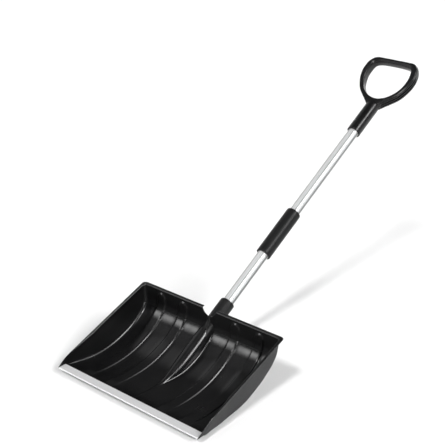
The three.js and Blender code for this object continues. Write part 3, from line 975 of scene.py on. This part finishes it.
def make_screw(name, seat, at):
    """A low-headed screw with a cross recess."""
    low = seat + GAP
    tip = TUBE_RADIUS - 5
    profile = [(0, tip), (SCREW_RADIUS, tip), (SCREW_RADIUS, low), (SCREW_HEAD, low)]
    profile += [(SCREW_HEAD, low + 0.6), (3.5, low + 1.05), (2.8, low + 1.38)]
    profile += [(1.8, low + 1.55), (0, low + 1.6)]
    points, faces = turned(profile, 48)
    screw = mesh_object(name, across_handle(points, at), faces, [ZINC])
    sides = [
        (0, 1, 3, 2), (4, 6, 7, 5), (0, 4, 5, 1),
        (2, 3, 7, 6), (0, 2, 6, 4), (1, 5, 7, 3),
    ]
    arms = []
    for half_x, half_y in ((0.38, 2.1), (2.1, 0.38)):
        corners = [
            (x * half_x, y * half_y, low + z)
            for z in (0.5, 3) for y in (-1, 1) for x in (-1, 1)
        ]
        arms.append(mesh_object("recess", across_handle(corners, at), sides, []))
    cut(screw, *arms)
    return screw


def make_button(name, at, proud):
    """A domed button with a stub that is riveted through its spring arm. proud is the
    distance from the handle's axis to the dome's top."""
    foot = 12.5 + GAP
    stub = 2.0
    radius = 3.8
    tall = 3.0
    profile = [(0, foot - 1.6), (stub, foot - 1.6), (stub, foot)]
    profile += [(radius - 0.2, foot), (radius, foot + 0.2)]
    profile += dome(radius, proud - tall, tall, 12)
    points, faces = turned(profile, 48)
    return mesh_object(name, across_handle(points, at), faces, [ZINC])


on_handle(
    make_tube(
        "tube_lower", GAP - SOCKET_DEPTH, TUBE_JOINT - GAP,
        cross_pin(BUTTON_HOLE, SOCKET_BUTTON_AT), cross_pin(BUTTON_HOLE, SLEEVE_BUTTON_AT),
    ),
    "shovel", "tube_aluminium", "lower_tube",
)
on_handle(
    make_tube(
        "tube_upper", TUBE_JOINT + GAP, UPPER_TUBE_END,
        screw_hole(SLEEVE_SCREW_AT), screw_hole(GRIP_SCREW_AT),
    ),
    "shovel", "tube_aluminium", "upper_tube",
)
on_handle(make_sleeve(), "shovel", "grip_plastic", "joint_sleeve")
on_handle(
    make_screw("screw_sleeve", SLEEVE_RADIUS, SLEEVE_SCREW_AT),
    "shovel", "zinc_steel", "sleeve_screw",
)
on_handle(
    make_screw("screw_grip", GRIP_STEM_RADIUS, GRIP_SCREW_AT),
    "shovel", "zinc_steel", "grip_screw",
)
on_handle(
    make_button("button_socket", SOCKET_BUTTON_AT, SOCKET_RADIUS + BUTTON_STANDS_OUT),
    "socket_button_unit", "zinc_steel", "socket_button",
)
on_handle(
    make_button("button_sleeve", SLEEVE_BUTTON_AT, SLEEVE_RADIUS + BUTTON_STANDS_OUT),
    "sleeve_button_unit", "zinc_steel", "sleeve_button",
)
SPRINGS = ("socket_spring_leg", "socket_spring_arm", "sleeve_spring_leg", "sleeve_spring_arm")
for node in SPRINGS:
    spring = frame["nodes"][node]
    spring.data.materials.clear()
    spring.data.materials.append(SPRING_STEEL)


# ---- D-grip ----

def grip_ring():
    """Outer and inner edge of the D's right half, from the middle of its foot round to the
    middle of the crossbar, as matching (x, height) pairs."""
    outer = [
        (0, -8), (16, -6), (29, 6), (46, 22), (64, 41), (79, 70), (86, 100), (84, 124),
        (80, 139), (72, 150.5), (60, 156.5), (44, 157), (22, 157), (0, 157),
    ]
    inner = [
        (0, 19.5), (7, 19.8), (16, 21.6), (29, 27), (48, 43), (61.5, 65), (68, 93), (66.8, 114),
        (62.5, 128), (56, 134.5), (47, 138), (36, 140), (20, 141), (0, 141.2),
    ]
    return spline(outer, 7), spline(inner, 7)


def groove_depth(place, wide, depth):
    """How deep the grooves are that run along the outside of the D's arms. place is the place
    on the D, wide how far the point is to its outside, from -1 to 1, and depth how far it is
    from the D's middle plane."""
    on_arm = smoothstep(12, 26, abs(place[0])) * (1 - smoothstep(104, 118, place[1]))
    on_outside = smoothstep(0.35, 0.8, wide) * (1 - smoothstep(10.5, 12.5, abs(depth)))
    wave = 0.5 - 0.5 * math.cos(2 * math.pi * depth / GROOVE_SPACING)
    return on_arm * on_outside * GROOVE_DEPTH * smoothstep(0.3, 0.85, wave)


def grip_loop():
    """Points and faces of the D: squarish sections along its arms, rounder on the crossbar."""
    outer_half, inner_half = grip_ring()
    outer = np.vstack([outer_half, outer_half[-2:0:-1] * (-1, 1)])
    inner = np.vstack([inner_half, inner_half[-2:0:-1] * (-1, 1)])
    across_way = Vector((1, 0, 0))
    height_way = Vector((0, -math.sin(GRIP_LEAN), math.cos(GRIP_LEAN)))
    depth_way = Vector((0, -math.cos(GRIP_LEAN), -math.sin(GRIP_LEAN)))
    base = Vector((0, 0, GRIP_NECK))
    around = 160
    angles = np.linspace(0, 2 * math.pi, 2001)
    c, s = np.cos(angles), np.sin(angles)
    points, faces = [], []
    for far, near in zip(outer, inner):
        middle = 0.5 * (far + near)
        outward = 0.5 * (far - near)
        width = np.hypot(*outward)
        bar = smoothstep(118, 142, middle[1])
        power = 2 / (4.6 - 2.0 * bar)
        section = np.column_stack([
            width * np.sign(c) * np.abs(c) ** power,
            0.5 * GRIP_DEPTH * np.sign(s) * np.abs(s) ** power,
        ])
        for across_arm, depth in respaced(section, around + 1)[:-1].tolist():
            wide = across_arm / width
            wide -= groove_depth(middle, wide, depth) / width
            across, height = (middle + wide * outward).tolist()
            points.append(base + across * across_way + height * height_way + depth * depth_way)
    count = len(outer)
    for n in range(count):
        m = (n + 1) % count
        for i in range(around):
            j = (i + 1) % around
            faces.append([n * around + i, n * around + j, m * around + j, m * around + i])
    return points, faces


def grip_stem():
    """Points and faces of the stem that holds the upper tube, with a fine groove round it."""
    radius = GRIP_STEM_RADIUS
    bore = TUBE_RADIUS + GAP
    body = [(bore, GRIP_START + 0.5), (bore + 0.5, GRIP_START)]
    body += arc((radius - 1.2, GRIP_START + 1.2), 1.2, 270, 360, 4)
    body += [(radius, at) for at in np.linspace(GRIP_START + 5, GRIP_SEAM - 1.2, 8)]
    body += [(radius - 0.45, GRIP_SEAM - 0.7), (radius - 0.45, GRIP_SEAM + 0.1)]
    body += [(radius, GRIP_SEAM + 0.6)]
    body += [(radius, at) for at in np.linspace(GRIP_SEAM + 4, GRIP_NECK - 8, 8)]
    body += arc((radius - 9, GRIP_NECK - 6), 9, 0, 80, 8)
    body += [(0, GRIP_NECK + 5), (0, UPPER_TUBE_END + GAP), (bore, UPPER_TUBE_END + GAP)]
    return turned(body, 120)


def make_grip():
    points, faces = grip_loop()
    stem_points, stem_faces = grip_stem()
    start = len(points)
    faces += [[start + i for i in face] for face in stem_faces]
    return mesh_object("d_grip", [*points, *stem_points], faces, [D_GRIP_PLASTIC])


on_handle(make_grip(), "shovel", "grip_plastic", "grip")


# ---- Room, lights and camera ----

FLOOR_REACH = 20
FLOOR_DROP = 0.0004  # from the scoop's belly to the floor, in metres

ROOM_LIGHT = 0.12
HORIZON_GLOW = 0.75  # a pale band round the room's foot
GLOW_FULL = 0.2  # the band is full below this height of a unit direction
GLOW_TOP = 0.36

# Soft patches of light: (direction, half angle of the bright middle, half angle of the faded
# edge, brightness over the room's own).
SOFTBOXES = (
    ((0.754, 0.089, 0.648), 7, 12, 18.0),
    ((0.67, 0.31, 0.67), 4, 10, 10.0),
    ((0.56, 0.52, 0.64), 5, 12, 3.0),
    ((0.857, -0.493, 0.146), 6, 11, 16.0),
    ((-0.58, -0.58, 0.59), 4, 11, 7.0),
    ((-0.58, -0.3, 0.75), 5, 14, 0.2),
    ((-0.72, 0.1, 0.69), 6, 16, 0.7),
    ((-0.90, 0.28, 0.34), 8, 18, 0.5),
    ((0.0, 0.93, 0.30), 6, 12, 8.0),
)

SUN_WAY = (-0.03, 0.54, -0.84)
SUN_STRENGTH = 1.9
SUN_ANGLE = 11

CAMERA_LENS = 83.94
CAMERA_SENSOR = 36
CAMERA_FROM_LIP = (1.4997, -1.4357, 1.3938)
CAMERA_TILT = 65.71
CAMERA_TURN = 39.84


def make_floor():
    s = Shader("floor_paper", Roughness=0.9, Specular_IOR_Level=0.1)
    cloud = s.noise(s.coordinates(), 3, 2)
    s.set("Base Color", s.colours(cloud, (0.77, 0.77, 0.77), (0.79, 0.79, 0.79)))
    mesh = bpy.data.meshes.new("floor")
    corners = [
        (x * FLOOR_REACH, y * FLOOR_REACH, -FLOOR_DROP)
        for x, y in ((-1, -1), (1, -1), (1, 1), (-1, 1))
    ]
    mesh.from_pydata(corners, [], [(0, 1, 2, 3)])
    mesh.materials.append(s.material)
    floor = bpy.data.objects.new("floor", mesh)
    bpy.context.scene.collection.objects.link(floor)


def make_world():
    world = bpy.data.worlds.new("studio")
    world.use_nodes = True
    sky = NodeTree(world.node_tree)
    way = sky.node("ShaderNodeTexCoord").outputs["Generated"]
    total = ROOM_LIGHT
    for aim, inner, outer, brightness in SOFTBOXES:
        facing = sky.node(
            "ShaderNodeVectorMath",
            {0: way, 1: Vector(aim).normalized()},
            operation="DOT_PRODUCT",
        ).outputs["Value"]
        fade_start = math.cos(math.radians(outer))
        fade_end = math.cos(math.radians(inner))
        patch = sky.soft_remap(facing, fade_start, fade_end, 0, brightness)
        total = sky.maths("ADD", patch, total)
    height = sky.node("ShaderNodeSeparateXYZ", {0: way}).outputs[2]
    glow = sky.soft_remap(height, GLOW_TOP, GLOW_FULL, 0, HORIZON_GLOW)
    background = sky.tree.nodes["Background"]
    background.inputs["Color"].default_value = (1, 1, 1, 1)
    sky.tree.links.new(sky.maths("ADD", glow, total), background.inputs["Strength"])
    bpy.context.scene.world = world


def make_sun():
    lamp = bpy.data.lights.new("sun", "SUN")
    lamp.energy = SUN_STRENGTH
    lamp.angle = math.radians(SUN_ANGLE)
    made = bpy.data.objects.new("sun", lamp)
    made.rotation_euler = Vector(SUN_WAY).to_track_quat("-Z", "Y").to_euler()
    bpy.context.scene.collection.objects.link(made)


def make_camera():
    """The viewing angle is from the front right, above the lip."""
    camera = bpy.data.cameras.new("camera")
    camera.sensor_width = CAMERA_SENSOR
    camera.lens = CAMERA_LENS
    made = bpy.data.objects.new("camera", camera)
    made.location = LIP + Vector(CAMERA_FROM_LIP)
    made.rotation_euler = (math.radians(CAMERA_TILT), 0, math.radians(CAMERA_TURN))
    bpy.context.scene.collection.objects.link(made)
    bpy.context.scene.camera = made


make_floor()
make_world()
make_sun()
make_camera()
bpy.context.scene.view_settings.view_transform = "Standard"
